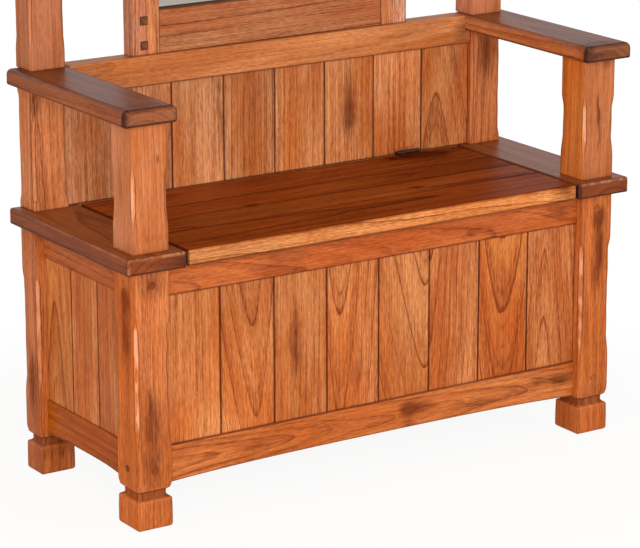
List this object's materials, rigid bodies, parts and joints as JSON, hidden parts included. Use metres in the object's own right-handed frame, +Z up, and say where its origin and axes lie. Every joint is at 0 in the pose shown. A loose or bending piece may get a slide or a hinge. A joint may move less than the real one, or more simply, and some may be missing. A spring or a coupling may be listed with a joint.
{
  "type": "hall tree bench",
  "caption": "Wooden hall stand: a plank-panelled storage bench with a hinged seat lid and arms, under tall posts that carry a framed mirror, coat hooks and a moulded crown.",
  "frame": {"origin": "on the floor, at the centre of the outer box in width and depth", "axes": "+Z up, -Y towards the person who sits on the bench, +X to the viewer's right when facing it"},
  "size_m": [1.034, 0.416, 1.98],
  "materials": {
    "stained_panels": "satin orange brown stain over a flowing grain",
    "stained_posts": "satin orange brown stain with pale worn edges",
    "dark_stained_boards": "satin dark brown stain and wax",
    "plain_inner_wood": "planed, unstained",
    "plywood": "sanded, unstained",
    "dark_pegs": "dark stained end grain",
    "dark_iron": "satin dark brown oxide",
    "mirror_glass": "silvered glass"
  },
  "bodies": {
    "frame": {"front_left_leg": "stained_posts", "front_right_leg": "stained_posts", "rear_left_leg": "stained_posts", "rear_right_leg": "stained_posts", "front_top_rail": "stained_panels", "front_bottom_rail": "stained_panels", "left_top_rail": "stained_panels", "left_bottom_rail": "stained_panels", "right_top_rail": "stained_panels", "right_bottom_rail": "stained_panels", "rear_top_rail": "stained_panels", "rear_bottom_rail": "stained_panels", "front_planks": "stained_panels", "left_planks": "stained_panels", "right_planks": "stained_panels", "chest_back_panel": "plywood", "chest_floor": "plain_inner_wood", "floor_cleats": "plain_inner_wood", "left_seat_bearer": "plain_inner_wood", "right_seat_bearer": "plain_inner_wood", "left_seat_end": "dark_stained_boards", "right_seat_end": "dark_stained_boards", "frame_hinge_leaves": "dark_iron", "hinge_pins": "dark_iron", "frame_hinge_screws": "dark_iron", "left_arm_post": "stained_posts", "right_arm_post": "stained_posts", "left_arm_board": "dark_stained_boards", "right_arm_board": "dark_stained_boards", "left_mid_post": "stained_posts", "right_mid_post": "stained_posts", "back_planks": "stained_panels", "back_rail": "stained_panels", "left_upper_post": "stained_posts", "right_upper_post": "stained_posts", "upper_rail": "stained_panels", "crown_board": "dark_stained_boards", "crown_moulding": "stained_posts", "left_mirror_stile": "stained_posts", "right_mirror_stile": "stained_posts", "mirror_bottom_rail": "stained_panels", "mirror_top_rail": "stained_panels", "mirror_glass": "mirror_glass", "mirror_backing": "plywood", "backing_clips": "dark_iron", "square_pegs": "dark_pegs", "left_upper_hook": "dark_iron", "left_lower_hook": "dark_iron", "right_upper_hook": "dark_iron", "right_lower_hook": "dark_iron", "hook_screws": "dark_iron", "leg_plugs": "dark_pegs", "post_dowels": "plain_inner_wood"},
    "lid": {"lid_boards": "dark_stained_boards", "lid_battens": "plain_inner_wood", "lid_hinge_leaves": "dark_iron", "lid_hinge_screws": "dark_iron"}
  },
  "joints": [
    {"name": "lid_hinge", "type": "hinge", "parent": "frame", "child": "lid", "pos_m": [0, 0.1608, 0.483], "axis": [-1, 0, 0], "range_deg": [0, 90]}
  ]
}
